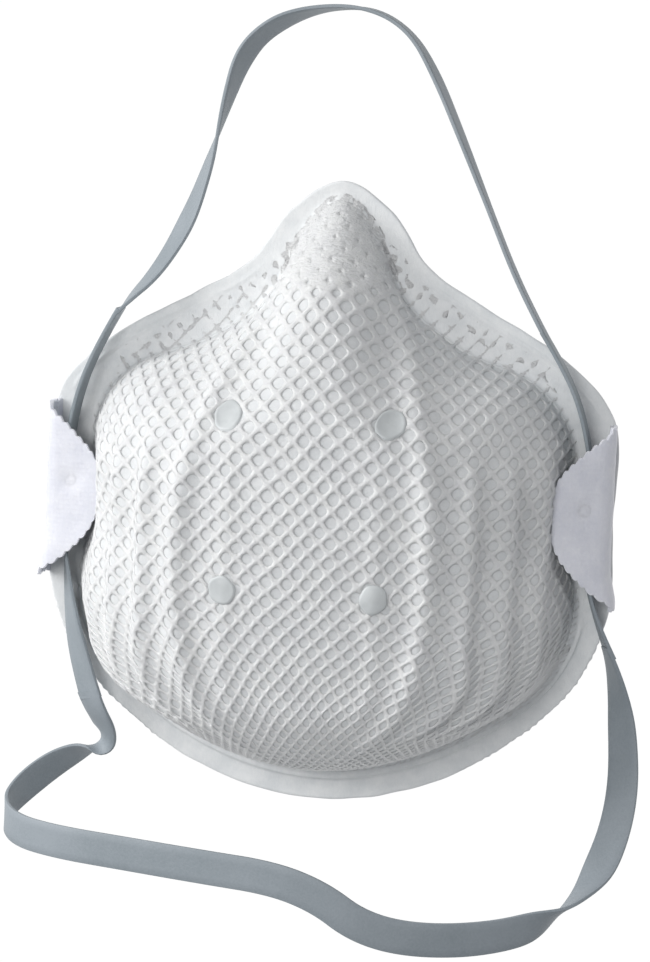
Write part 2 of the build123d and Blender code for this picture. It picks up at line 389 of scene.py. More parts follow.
lines, lengths, feet = [], [], []
for row in ring:
    foot, panel, edge, fullness = row[:2], row[2:4], row[4:6], row[6]
    line, length = even(meridian(foot, panel, edge, fullness), ALONG)
    foot_at = length - np.linalg.norm(edge - foot)
    to_foot = np.linspace(0, length, ALONG) - foot_at
    near_foot = np.exp(-((to_foot / FILLET_REACH) ** 2))[:, None]
    jaw = smooth_step((JAW_TOP - foot[1]) / JAW_FADE) * near_foot
    lines.append(softened(line, CORNER_REACH) * (1 - jaw) + softened(line, JAW_REACH) * jaw)
    lengths.append(length)
    feet.append(foot_at)
surface = np.array(lines)
lengths, feet = np.array(lengths), np.array(feet)
surface[:, 0] = surface[:, 0].mean(axis=0)
print("meridian lengths", lengths.min().round(1), lengths.max().round(1), "mm")


# %% [markdown]
# The front and the cheeks carry upright corrugations, which stop the cup from collapsing. They are soft
# ridges at fixed distances from the middle, pushed out along the surface, and they fade towards the nose
# and the chin.

# %% Corrugations and normals
PANEL_EDGE = [  # z and distance from the middle, mm
    (-62, 6), (-53, 14.8), (-48, 19.3), (-44, 22.6), (-38, 25.5), (-31, 27), (-20, 28.5),
    (0, 28.5), (8, 27.6), (15, 26), (28, 22), (38, 18), (48, 12.5), (58, 7),
]
SIDE_RIDGES = [(17.0, 0.4), (36.6, 2.2), (44.5, 2.1), (51.5, 1.4)]  # distance from the middle, height
RIDGE_WIDTH, EDGE_WIDTH, EDGE_HEIGHT = 2.0, 2.6, 1.6
INNER_SHARE = 0.3  # share of a ridge's height that still shows on the layers inside
BEND_FROM, BEND = -34.0, 0.0013  # below this height the ridges bend towards the chin
RIDGE_LOW, RIDGE_HIGH, RIDGE_FADE = -56.0, 6.0, 12.0
EDGE_LOW, EDGE_HIGH, EDGE_FADE = -62, 60, 14
FOOT_FADE = 5  # ridges fade over this distance from the foot of the wall, mm


def normals_of(grid):
    """Unit normals of a closed ring of meridians, out of the cup."""
    around = np.roll(grid, -1, axis=0) - np.roll(grid, 1, axis=0)
    along = np.gradient(grid, axis=1)
    n = np.cross(along, around)
    n /= np.linalg.norm(n, axis=2, keepdims=True) + 1e-12
    if n[:, ALONG // 2, 1].mean() > 0:
        n = -n
    n[:, :3] = (0, -1, 0)
    return n


outward = normals_of(surface)
x, z = np.abs(surface[..., 0]), surface[..., 2]
fade = smooth_step((z - RIDGE_LOW) / RIDGE_FADE)
fade = fade * smooth_step((RIDGE_HIGH + RIDGE_FADE - z) / RIDGE_FADE)
bend = 1 - BEND * np.maximum(BEND_FROM - z, 0) ** 2
ridges = [height * np.exp(-(((x - at * bend) / RIDGE_WIDTH) ** 2)) for at, height in SIDE_RIDGES]
lift = fade * sum(ridges)
edge_heights, edge_places = np.array(PANEL_EDGE, float).T
edge_x = np.interp(z, edge_heights, edge_places)
edge_fade = smooth_step((z - EDGE_LOW) / EDGE_FADE) * smooth_step((EDGE_HIGH - z) / EDGE_FADE)
lift = lift + EDGE_HEIGHT * edge_fade * np.exp(-(((x - edge_x) / EDGE_WIDTH) ** 2))
before_foot = feet[:, None] - np.linspace(0, 1, ALONG) * lengths[:, None]
on_wall = smooth_step(before_foot / FOOT_FADE)
lift = (lift * on_wall)[..., None]
inner_surface = surface + outward * lift * INNER_SHARE
surface = surface + outward * lift
outward, inner_outward = normals_of(surface), normals_of(inner_surface)


# %% Look up the surface anywhere
def on_surface(around, along, inner=False):
    """Points and normals at fractional ring numbers and distances (mm) from the middle of the panel."""
    u = np.mod(around, COUNT)
    u0 = np.floor(u).astype(int) % COUNT
    u1, fu = (u0 + 1) % COUNT, (u - np.floor(u))[..., None]
    answer = []
    for grid in (inner_surface, inner_outward) if inner else (surface, outward):
        sides = []
        for column in (u0, u1):
            k = np.clip(along / lengths[column], 0, 1) * (ALONG - 1)
            k0 = np.minimum(k.astype(int), ALONG - 2)
            part = (k - k0)[..., None]
            sides.append(grid[column, k0] * (1 - part) + grid[column, k0 + 1] * part)
        answer.append(sides[0] * (1 - fu) + sides[1] * fu)
    points, n = answer
    return points, n / (np.linalg.norm(n, axis=-1, keepdims=True) + 1e-12)


def ring_value(values, around):
    """A value given for each meridian, between two of them."""
    return np.interp(np.mod(around, COUNT), np.arange(COUNT + 1), np.append(values, values[0]))


# %% [markdown]
# ## Making meshes
# Every piece below is an array of points and a list of faces in millimetres. One function turns them into
# an object in metres with smooth shading, another joins points that meet, and a third joins a grid of
# points into faces.

# %% Mesh helpers
def add_piece(name, points, faces, material, sharp_degrees=None):
    """A smooth object from points in mm. Edges that turn more than sharp_degrees stay sharp."""
    mesh = bpy.data.meshes.new(name)
    mesh.from_pydata((np.asarray(points) * MM).tolist(), [], [list(map(int, f)) for f in faces])
    mesh.validate()
    mesh.update()
    mesh.materials.append(material)
    mesh.shade_smooth()
    if sharp_degrees:
        mesh.set_sharp_from_angle(angle=math.radians(sharp_degrees))
    piece = bpy.data.objects.new(name, mesh)
    bpy.context.scene.collection.objects.link(piece)
    print(name, len(mesh.vertices), "points", len(mesh.polygons), "faces")
    return piece


def weld_points(piece, distance_mm=0.001):
    """Joins points that lie on each other, such as the shared edges of neighbouring cells."""
    made = bmesh.new()
    made.from_mesh(piece.data)
    bmesh.ops.remove_doubles(made, verts=made.verts, dist=distance_mm * MM)
    bmesh.ops.recalc_face_normals(made, faces=made.faces)
    made.to_mesh(piece.data)
    made.free()
    piece.data.shade_smooth()
    points, polygons = len(piece.data.vertices), len(piece.data.polygons)
    print(piece.name, "after joining", points, "points", polygons, "faces")


def grid_faces(rows, columns, closed_rows=False, closed_columns=False, start=0):
    """Quads over a grid of points that are listed row by row."""
    r = np.arange(rows if closed_rows else rows - 1)
    c = np.arange(columns if closed_columns else columns - 1)
    r, c = (a.ravel() for a in np.meshgrid(r, c, indexing="ij"))
    r1, c1 = (r + 1) % rows, (c + 1) % columns
    corners = [r * columns + c, r1 * columns + c, r1 * columns + c1, r * columns + c1]
    return np.stack(corners, axis=1) + start


# %% A layer of the cup as a thin closed shell
def layer(name, material, outer, inner, margin, soft, around, along):
    """A shell between two depths (mm) under the surface.

    It ends margin mm before the foot of the wall. A soft one has low ridges.
    """
    u = np.arange(around) * COUNT / around
    share = np.linspace(0, 1, along)[1:]
    reach = ring_value(feet, u) - margin
    a, s = np.broadcast_arrays(u[:, None], share[None, :] * reach[:, None])
    points, n = on_surface(a, s, soft)
    middle, _ = on_surface(np.zeros(1), np.zeros(1), soft)
    skins = [(points - n * depth).reshape(-1, 3) for depth in (outer, inner)]
    poles = [middle + [0, depth, 0] for depth in (outer, inner)]
    size, columns = len(skins[0]), along - 1
    faces = []
    for side in range(2):
        quads = grid_faces(around, columns, closed_rows=True, start=side * size)
        pole = 2 * size + side
        first = np.arange(around) * columns + side * size
        fan = [[pole, a, b] for a, b in zip(np.roll(first, -1), first)]
        faces += [q[::-1] for q in quads] + [f[::-1] for f in fan] if side else [*quads] + fan
    rim = np.arange(around) * columns + columns - 1
    faces += [[a, b, b + size, a + size] for a, b in zip(np.roll(rim, -1), rim)]
    return add_piece(name, np.concatenate([*skins, *poles]), faces, material)


# piece, CAD node, slot, material, outer and inner depth, margin, soft, and samples around and along
LAYERS = [
    ("cover_web_shell", "cover_web", "fibre_web", WEB, 0.3, 0.75, 0.5, False, 176, 64),
    ("filter_media_shell", "filter_layer", "filter_media", MEDIA, 1.5, 2.6, 0.8, True, 132, 48),
    ("inner_liner_shell", "inner_liner", "liner", LINER, 2.8, 3.4, 1.0, True, 176, 64),
]
for name, node, slot, *shape in LAYERS:
    shell = layer(name, *shape)
    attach(shell, "mask")
    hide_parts(node)

# %% [markdown]
# ## The netting
# The netting is a flat diamond mesh that was heated and pressed over the cup. It could be a texture, but
# its open holes catch light and shade, so each hole is real. The lattice is laid out flat, then carried
# onto the surface: a cell is a ring of points that runs from the crest of its four strands down into the
# hole and back underneath. Cells near the foot sink into the flange, where the netting was melted.

# %% From the flat net to the cup
RUN, RISE = 4.65, 4.7  # width and height of a cell from corner to corner in the flat net, mm
STRETCH = 0.0022  # how much larger the cells grow towards the nose, and smaller towards the chin
CHIN_SQUEEZE = 0.9  # how much closer together the strands are at the chin
ARC_SHARE = 0.5  # 0 keeps cells square as seen from the front, 1 keeps them square on the wall
NET_BOTTOM = -90  # the flat net is cut off here, mm below the middle
CHIN_FROM, CHIN_FADE = -12, 60  # the squeeze starts below this height and is full this much lower, mm
CLOSER, ROUNDS = 0.7, 7  # share of the error that each round of the search takes away, and rounds
NET_STEPS = 400

angles = np.unwrap(np.arctan2(ring[:, 1] - PANEL_MIDDLE[1], ring[:, 0] - PANEL_MIDDLE[0]))
shares = np.linspace(0, 1, ALONG)
from_middle = surface[..., [0, 2]] - PANEL_MIDDLE
flat_radius = np.maximum.accumulate(np.linalg.norm(from_middle, axis=2), axis=1)
# how far a point turns off the direction of its meridian's foot
lean = np.arctan2(from_middle[..., 1], from_middle[..., 0]) - angles[:, None]
lean = (lean + math.pi) % (2 * math.pi) - math.pi
lean[:, :4] = lean[:, 4:5]  # the angle has no meaning at the very middle
net_radius = (1 - ARC_SHARE) * flat_radius + ARC_SHARE * shares * lengths[:, None]
net_reach = net_radius[:, -1]
along_of_net = np.array([
    np.interp(np.linspace(0, reach, NET_STEPS), radii, shares * length)
    for reach, radii, length in zip(net_reach, net_radius, lengths)
])


def ring_number(angle):
    """The fractional ring number of the meridian that leaves the middle at that angle."""
    turned = angles[0] - np.mod(angles[0] - angle, 2 * math.pi)
    return np.interp(-turned, -np.append(angles, angles[0] - 2 * math.pi), np.arange(COUNT + 1))


def distance_along(around, radius):
    """How far along its meridian a point of the flat net lies."""
    u0 = np.floor(around).astype(int) % COUNT
    u1, f = (u0 + 1) % COUNT, around - np.floor(around)
    sides = []
    for column in (u0, u1):
        k = np.clip(radius / net_reach[column], 0, 1) * (NET_STEPS - 1)
        k0 = np.minimum(k.astype(int), NET_STEPS - 2)
        low, high = along_of_net[column, k0], along_of_net[column, k0 + 1]
        sides.append(low + (high - low) * (k - k0))
    return sides[0] * (1 - f) + sides[1] * f


def net_to_cup(p, q):
    """Where a point of the flat net lies: ring number and distance from the middle of the panel."""
    q = np.maximum(q, NET_BOTTOM)
    z = q + STRETCH * np.abs(q) * q * np.where(q > 0, 1, -0.8)
    low = smooth_step((CHIN_FROM - z) / CHIN_FADE)
    x = p * np.clip(1 + 2 * STRETCH * z, 0.8, 1.2) / (1 + CHIN_SQUEEZE * low)
    angle, radius = np.arctan2(z, x), np.hypot(x, z)
    around = ring_number(angle)
    for _ in range(ROUNDS):  # each round comes closer to the meridian that passes through the point
        along = distance_along(around, radius)
        u0 = np.floor(around).astype(int) % COUNT
        k = (np.clip(along / ring_value(lengths, around), 0, 1) * (ALONG - 1)).astype(int)
        step = ring_number(angle - lean[u0, k]) - around
        around = around + CLOSER * ((step + COUNT / 2) % COUNT - COUNT / 2)
    along = distance_along(around, radius)
    past = radius / ring_value(net_reach, around) - 1
    return around, np.where(past > 0, along * (1 + past), along)


# %% Where the netting ends, for each meridian
def net_limit():
    """How far past the foot of the wall the netting still shows: far on the brow, hardly at all elsewhere."""
    x, z = np.abs(ring[:, 0]), ring[:, 1]
    brow = smooth_step((z - 24) / 6) * smooth_step((62 - z) / 8)
    width = lengths - feet
    return feet + 0.8 + brow * np.maximum(width - 4.2, 0)


limits = net_limit()

# %% Where four round spots are melted into the net
SPOT_R = 3.2
SPOT_MARGIN, SPOT_EDGE = 0.35, 0.5  # how far past a spot the net has melted, and how soft that edge is
SPOTS = {  # x and z, mm, and how far the middle of each spot stands over its rim
    "upper_left_spot": (-18.5, 21.5, -0.2),
    "upper_right_spot": (18.5, 21.5, -0.25),
    "lower_left_spot": (-17.2, -17.3, -0.1),
    "lower_right_spot": (17.2, -17.3, 0.3),
}


def melted_spots(points):
    """1 inside a weld spot and 0 outside."""
    front_view = points[..., [0, 2]]
    near = [np.linalg.norm(front_view - spot[:2], axis=-1) for spot in SPOTS.values()]
    return smooth_step((SPOT_R + SPOT_MARGIN - np.min(near, axis=0)) / SPOT_EDGE)


# %% Build the cells
CORNERS = 12  # points round a cell, with one on each corner
HOLE = 0.72  # share of the cell that is hole
RAISED, UNDER = 0.14, 0.45  # height of the upper strands' crest and depth of the underside, mm
STEPS_IN = [(0.0, 1.0), (0.5, 0.0), (1.0, -1.0)]  # share of the way to the hole, share of the crest
NET_SPAN = 180  # the flat net reaches this far each way before it is cut to the cup, mm
FIRST_CORNER = 15  # degrees
ROUNDNESS = 2.4  # power of the hole's superellipse: 2 is a circle, and more is squarer
WANDER, WANDER_LENGTH = 0.4, 7  # how far the strands stray, and over what length, mm
MELT_FROM, MELT_FADE = 46, 8  # above this height the holes close, over this height, mm


def ripple(p, q, length, seed):
    """A smooth, repeatable unevenness between -1 and 1."""
    a = np.sin(p / length * 2.1 + seed) * np.cos(q / length * 1.7 + seed * 2.3)
    b = np.sin((p + q) / length * 1.3 + seed * 1.7) * np.cos((p - q) / length * 1.1 + seed)
    return 0.5 * (a + b)


def build_netting():
    """The points and faces of every open cell that lands on the cup."""
    most = int(NET_SPAN / RUN)
    numbers = np.arange(-most, most)
    i, j = (a.ravel() for a in np.meshgrid(numbers, numbers, indexing="ij"))
    turn = np.radians(FIRST_CORNER + 360 / CORNERS * np.arange(CORNERS))
    c, s = np.cos(turn), np.sin(turn)
    square = 1 / np.maximum(np.abs(c), np.abs(s))
    hole = HOLE / (np.abs(c) ** ROUNDNESS + np.abs(s) ** ROUNDNESS) ** (1 / ROUNDNESS)

    def flat(a, b):
        """Places in the flat net, from places a, b inside each cell."""
        ii, jj = i[:, None] + 0.5 + a / 2, j[:, None] + 0.5 + b / 2
        p, q = (ii - jj) * RUN / 2, (ii + jj) * RISE / 2
        stray_p = WANDER * ripple(p, q, WANDER_LENGTH, 1.0)
        stray_q = WANDER * ripple(p, q, WANDER_LENGTH, 2.0)
        return p + stray_p, q + stray_q

    edge_p, edge_q = flat(square * c, square * s)
    around, along = net_to_cup(edge_p, edge_q)
    inside = (along < ring_value(limits, around) - 0.4).any(axis=1)
    i, j = i[inside], j[inside]
    edge_p, edge_q = flat(square * c, square * s)
    openness = 1 + 0.1 * ripple(edge_p.mean(axis=1), edge_q.mean(axis=1), 6, 4.0)[:, None]
    on_corner = np.abs(square * s) ** 3  # the lower strand climbs to the upper one where they cross
    crest = np.where(np.abs(s) >= np.abs(c) - 1e-9, RAISED, RAISED * on_corner)

    middle_around, middle_along = net_to_cup(edge_p.mean(axis=1), edge_q.mean(axis=1))
    middle_height = on_surface(middle_around, middle_along)[0][:, 2]
    to_foot = (ring_value(feet, middle_around) - middle_along)[:, None]
    openness *= 1 - 0.97 * smooth_step((middle_height[:, None] - MELT_FROM) / MELT_FADE)
    by_the_jaw = smooth_step(1 - to_foot / 9)
    openness *= 1 - 0.6 * by_the_jaw * smooth_step((-22 - middle_height[:, None]) / 15)
    hole = hole * openness
    rings = [(square + (hole - square) * way, crest * share) for way, share in STEPS_IN]
    rings += [(hole * 1.02, None), (square, None)]  # the underside, from the hole out to the strands
    layers = []
    for scale, height in rings:
        p, q = flat(scale * c, scale * s)
        around, along = net_to_cup(p, q)
        limit = ring_value(limits, around)
        foot = ring_value(feet, around)
        along = np.minimum(along, limit)
        points, n = on_surface(around, along)
        melt = smooth_step((along - foot + 3.0) / 5.0)
        nose = smooth_step((points[..., 2] - MELT_FROM) / MELT_FADE)
        if height is None:
            rise_mm = -UNDER + melt * (UNDER - 0.15)
        else:
            bumpy = 0.07 * ripple(p, q, 2.5, 5.0)
            rise_mm = (height + bumpy) * (1 - 0.7 * melt) * (1 - 0.6 * nose)
        sunk = melted_spots(points)
        rise_mm = rise_mm * (1 - sunk) - 0.5 * sunk
        layers.append(points + n * rise_mm[..., None])
    cells, rows = len(i), len(layers)
    points = np.stack(layers, axis=1).reshape(-1, 3)
    one = grid_faces(rows, CORNERS, closed_columns=True)
    faces = (one[None] + (np.arange(cells) * rows * CORNERS)[:, None, None]).reshape(-1, 4)
    print("netting of", cells, "cells")
    return points, faces


points, faces = build_netting()
netting = add_piece("netting", points, faces, NETTING)


weld_points(netting, 0.01)
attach(netting, "mask")
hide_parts("netting_shell")

# %% [markdown]
# ## The flange
# The flange is the stack's edge, pressed thin and melted. Its section is a closed loop: the front with
# its weld bead, a rounded edge, the flat back that seals on the face, and the step up to the layers. The
# section is swept round the ring, and its width follows the meridians.

# %% Sweep the flange's section
BEAD_IN = {"jaw": 5.6, "brow": 2.8}  # how far each weld bead lies inside the flange's edge, mm
SCALLOP = 2.3  # pitch of the pinking shears' teeth
BACK_INSET = 3.6  # how far inside the foot of the wall the back of the flange reaches
OVER_FOOT = 1.2  # how far the flange's front runs up under the foot of the wall
EDGE_STEPS = [(0.18, 1.42), (0.02, 1.15), (0.0, 0.7), (0.08, 0.25), (0.35, 0.02)]  # inset and height
PINKED_DEPTH = 0.35  # depth of the scallops along the jaw


def ridge(distance, height, width):
    """A rounded bead of that height where distance is 0."""
    return height * np.exp(-((distance / width) ** 2))


def build_flange():
    """The points and faces of the flange, with its weld beads and pinked jaw."""
    foot, edge = ring[:, :2], ring[:, 4:6]
    width = np.linalg.norm(edge - foot, axis=1)
    out = (edge - foot) / width[:, None]
    x, z = edge[:, 0], edge[:, 1]
    jaw = smooth_step((-27 - z) / 4)
    brow = smooth_step((z - 22) / 3) * smooth_step((58 - z) / 8)
    walked = np.cumsum(np.linalg.norm(edge - np.roll(edge, 1, axis=0), axis=1))
    pinked = jaw * smooth_step((z + 66) / 6)
    scallops = np.abs(np.sin(math.pi * walked / SCALLOP))
    wavy = 0.15 * ripple(x, z, 3.5, 3.0) - PINKED_DEPTH * pinked * scallops
    rows = []
    for share in np.linspace(0, 1, 26):
        along = feet - OVER_FOOT + (width + OVER_FOOT - 0.5) * share
        points, n = on_surface(np.arange(COUNT, dtype=float), along)
        inside_edge = lengths - along
        bead = jaw * ridge(inside_edge - BEAD_IN["jaw"], 0.55, 0.45)
        bead += brow * ridge(inside_edge - BEAD_IN["brow"], 0.3, 0.4)
        fuzz = ripple(points[:, 0], points[:, 2], 1.1, 6.0) * ridge(inside_edge - 6, 0.12, 2)
        rows.append(points + n * (bead + fuzz + 0.02)[:, None])
    edge_line = np.column_stack([edge[:, 0], np.zeros(COUNT), edge[:, 1]])
    side = np.column_stack([out[:, 0], np.zeros(COUNT), out[:, 1]])
    edge_line = edge_line + side * wavy[:, None]
    for inset, depth in EDGE_STEPS:
        rows.append(edge_line - side * inset + [0, -depth, 0])
    foot_line = np.column_stack([foot[:, 0], np.zeros(COUNT), foot[:, 1]])
    back_edge = edge_line - side * EDGE_STEPS[-1][0]
    back_foot = foot_line - side * BACK_INSET
    for share in np.linspace(0, 1, 10)[1:]:
        rows.append(back_edge * (1 - share) + back_foot * share)
    rows.append(foot_line - side * (BACK_INSET + 0.15) + [0, -0.6, 0])
    rows.append(foot_line - side * BACK_INSET + [0, -1.6, 0])
    section = np.stack(rows, axis=1)
    return section.reshape(-1, 3), grid_faces(COUNT, len(rows), True, True)


points, faces = build_flange()
flange = add_piece("pressed_flange", points, faces, FLANGE)
weld_points(flange)
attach(flange, "mask")
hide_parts("rim_flange", "jaw_weld_bead", "brow_weld_bead")

# %% [markdown]
# ## The weld spots on the front
# Four round spots hold the layers together. Each is a small button of plastic that melted and froze
# smooth, so it is a disc of rings laid on the surface, slightly crowned or dished, with an uneven edge.

# %% Find the surface in front of a point, and lay a button on it
BUTTON_DEPTH = 1.15  # how far a button reaches into the layers, mm
FLAT_LIFT, CROWNED_LIFT = 0.1, 0.2  # lift of every button's rim, and what a crowned one gets besides, mm
front_points = surface[:, ::2].reshape(-1, 3)
front_normals = outward[:, ::2].reshape(-1, 3)


def surface_at(x, z):
    """The point on the cup in front of x, z, and the normal there, averaged over the points around it."""
    away = np.linalg.norm(front_points[:, [0, 2]] - [x, z], axis=1)
    near = away < 3.5
    weights = ridge(away[near], 1, 1.2)[:, None]
    offset = (front_points[near] - [x, 0, z]) * weights
    n = (front_normals[near] * weights).sum(axis=0)
    n /= np.linalg.norm(n)
    middle = offset.sum(axis=0) / weights.sum()
    y = middle[1] + (middle[0] * n[0] + middle[2] * n[2]) / n[1]
    return np.array([x, y, z]), n


def add_button(name, x, z, crown, radius, lift, seed):
    """A melted button whose middle stands crown mm over its rim, or under it if crown is below 0."""
    turn = np.linspace(0, 2 * math.pi, 40, endpoint=False)
    uneven = 1 + 0.05 * np.sin(2 * turn + seed) + 0.03 * np.sin(5 * turn + 2 * seed)
    profile = [  # share of the radius, and height
        (0.12, crown), (0.35, crown * 0.95), (0.6, crown * 0.7), (0.8, crown * 0.3), (0.92, 0.02),
        (1.0, -0.22), (1.04, -0.6), (1.0, -1.1), (0.5, -BUTTON_DEPTH),
    ]
    rows = []
    for share, height in profile:
        row = []
        for t, wobble in zip(turn, uneven):
            reach = radius * share * wobble
            point, n = surface_at(x + reach * math.cos(t), z + reach * math.sin(t))
            row.append(point + n * (lift + height))
        rows.append(row)
    points = np.array(rows).reshape(-1, 3)
    faces = [*grid_faces(len(profile), len(turn), closed_columns=True)]
    top, n = surface_at(x, z)
    points = np.concatenate([points, [top + n * (lift + crown), top - n * (BUTTON_DEPTH - lift)]])
    pole, last = len(points) - 2, (len(profile) - 1) * len(turn)
    around = np.arange(len(turn))
    faces += [[pole, a, b] for a, b in zip(around, np.roll(around, -1))]
    faces += [[pole + 1, b, a] for a, b in zip(around + last, np.roll(around + last, -1))]
    piece = add_piece(name, points, faces, WELD)
    weld_points(piece)
    return piece


for number, (name, (x, z, crown)) in enumerate(SPOTS.items()):
    lift = FLAT_LIFT + CROWNED_LIFT * (crown > 0)
    spot = add_button(name + "_button", x, z, crown, SPOT_R, lift, number * 1.7)
    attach(spot, "mask")
    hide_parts(name)

# %% [markdown]
# ## The side tabs
# Each tab is a wing of the flange, cut with pinking shears and folded forward round the strap. A flat
# grid is enough: one direction runs along the fold's section, the other up and down, and the ends of each
# column follow the wing's outline with its row of small scallops. The grid is then given its thickness.

# %% Build one tab, and mirror it for the other side
TAB_PATH = [  # the fold's section from the flange to the tip, x and y
    (66.2, -0.9), (67.2, -3), (67.4, -6.5), (66.9, -9.3), (65, -11.2), (61, -12.6), (57, -13.5),
    (53.8, -13.9),
]
TAB_OUTLINE = [  # x, top and bottom of the wing's front
    (68.5, 20.2, -22.6), (66, 18.6, -21), (63.5, 16.7, -18.9), (61.3, 14.8, -16.6),
    (58.6, 12.2, -14), (56.2, 9.8, -11.2), (54.6, 7.4, -8.4), (53.9, 5.2, -6.2),
]
TAB_TOP, TAB_BOTTOM = 20.0, -22.4  # the wing's ends before it turns to the front
TURNS_AT = 0.42  # share of the fold's length at which it turns to the front
TAB_THICK = 0.9
SCALLOP_DEPTH = 0.75
FLARE = 1.6  # how far the fold opens outwards at its lower end
TAB_WELD_AT = (61.2, 1.0)
DENT, DENT_WIDTH = 0.75, 3.2  # the hollow round the weld, mm


def open_curve(points, count):
    """An evenly spaced smooth line through points."""
    p = np.array(points, float)
    p = np.concatenate([[2 * p[0] - p[1]], p, [2 * p[-1] - p[-2]]])
    t = np.linspace(0, 1, 16, endpoint=False)[:, None]
    pieces = [catmull_rom(a, b, c, d, t) for a, b, c, d in zip(p, p[1:], p[2:], p[3:])]
    return even(np.concatenate([*pieces, [p[-2]]]), count)[0]


def build_tab(seed, top_drop):
    """The wing on the right side. top_drop moves the top corner down, as no two folds are quite the same."""
    columns, rows = 110, 34
    path = open_curve(TAB_PATH, columns)
    outline = np.array(TAB_OUTLINE)[::-1]
    front = np.arange(columns) / (columns - 1) > TURNS_AT
    facing_front = smooth_step((66.5 - path[:, :1]) / 6)
    top = np.where(front, np.interp(path[:, 0], outline[:, 0], outline[:, 1]), TAB_TOP) - top_drop
    bottom = np.where(front, np.interp(path[:, 0], outline[:, 0], outline[:, 2]), TAB_BOTTOM)
    steps = np.hypot(np.linalg.norm(np.diff(path, axis=0), axis=1), np.diff(top))
    walked = np.concatenate([[0], np.cumsum(steps)])
    scallop = SCALLOP_DEPTH * (np.abs(np.sin(math.pi * walked / SCALLOP + seed)) - 0.5)
    up_share = np.linspace(0, 1, rows)
    grid = np.zeros((columns, rows, 3))
    for row, share in enumerate(up_share):
        near_edge = abs(2 * share - 1) ** 14
        z = bottom + (top - bottom) * share + scallop * near_edge * (1 if share > 0.5 else -1)
        grid[:, row] = np.column_stack([path, z])
    grid[..., 0] += FLARE * smooth_step((-13 - grid[..., 2]) / 9) * (1 - facing_front)
    tangent = np.gradient(path, axis=0)
    n = np.column_stack([-tangent[:, 1], tangent[:, 0], np.zeros(columns)])
    n /= np.linalg.norm(n, axis=1, keepdims=True)
    outwards = n[:, :1] * (path[:, :1] - 62) + n[:, 1:2] * (path[:, 1:] + 6)
    n = np.where(outwards > 0, n, -n)
    n = np.repeat(n[:, None], rows, axis=1)
    away = np.linalg.norm(grid[..., [0, 2]] - TAB_WELD_AT, axis=2)
    facing = smooth_step((-grid[..., 1] - 9) / 2.5)
    dent = -ridge(away, DENT, DENT_WIDTH) * facing
    folds = 0.25 * ripple(grid[..., 2], grid[..., 0], 6.0, seed)
    folds = folds + 0.08 * ripple(grid[..., 2], grid[..., 0], 2.1, seed + 1)
    loose = smooth_step((np.abs(grid[..., 2]) - 6) / 10) * facing * 0.7
    grid = grid + n * (dent + folds + loose)[..., None]
    back = grid - n * TAB_THICK
    size = columns * rows
    points = np.concatenate([grid.reshape(-1, 3), back.reshape(-1, 3)])
    faces = [*grid_faces(columns, rows), *(grid_faces(columns, rows, start=size)[:, ::-1])]
    rim = [c * rows for c in range(columns)]
    rim += [(columns - 1) * rows + r for r in range(1, rows)]
    rim += [c * rows + rows - 1 for c in range(columns - 2, -1, -1)]
    rim += list(range(rows - 2, 0, -1))
    faces += [[a, b, b + size, a + size] for a, b in zip(rim, rim[1:] + rim[:1])]
    return points, faces


for side, sign, seed, drop in (("left", -1, 0.4, 1.2), ("right", 1, 1.9, 0.0)):
    points, faces = build_tab(seed, drop)
    tab = add_piece(f"{side}_tab_wing", points * [sign, 1, 1], faces, TAB, 50)
    weld_points(tab)
    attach(tab, "mask")
    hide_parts(f"{side}_strap_tab")

# %% [markdown]
# ## The strap
# The strap is one flat elastic band, 8 mm wide. A band like this lies on a smooth line, and at each point
# of the line its width points somewhere: forward in the tabs and over the head, upright along the neck
# loop, with a twist where it changes. So each route is a list of points with the direction of the
# width beside each point.

# %% Lines and bands
STRAP_WIDTH, STRAP_THICK = 8.0, 0.9
STRAP_STEP = 0.8  # distance between two cross sections, mm


def smooth_line(points):
    """The NURBS line of a route, as evenly spaced points in mm."""
    curve = bpy.data.curves.new("route", "CURVE")
    curve.dimensions = "3D"
    curve.resolution_u = 24
    spline = curve.splines.new("NURBS")
    spline.points.add(len(points) - 1)
    for made, point in zip(spline.points, points):
        made.co = (*(c * MM for c in point), 1)
    spline.order_u = 3
    spline.use_endpoint_u = True
    holder = bpy.data.objects.new("route", curve)
    bpy.context.scene.collection.objects.link(holder)
    mesh = bpy.data.meshes.new_from_object(holder)
    line = np.array([v.co[:] for v in mesh.vertices]) / MM
    bpy.data.objects.remove(holder)
    if np.linalg.norm(line[0] - points[0]) > np.linalg.norm(line[-1] - points[0]):
        line = line[::-1]
    length = np.linalg.norm(np.diff(line, axis=0), axis=1).sum()
    return even(line, int(length / STRAP_STEP) + 2)[0]


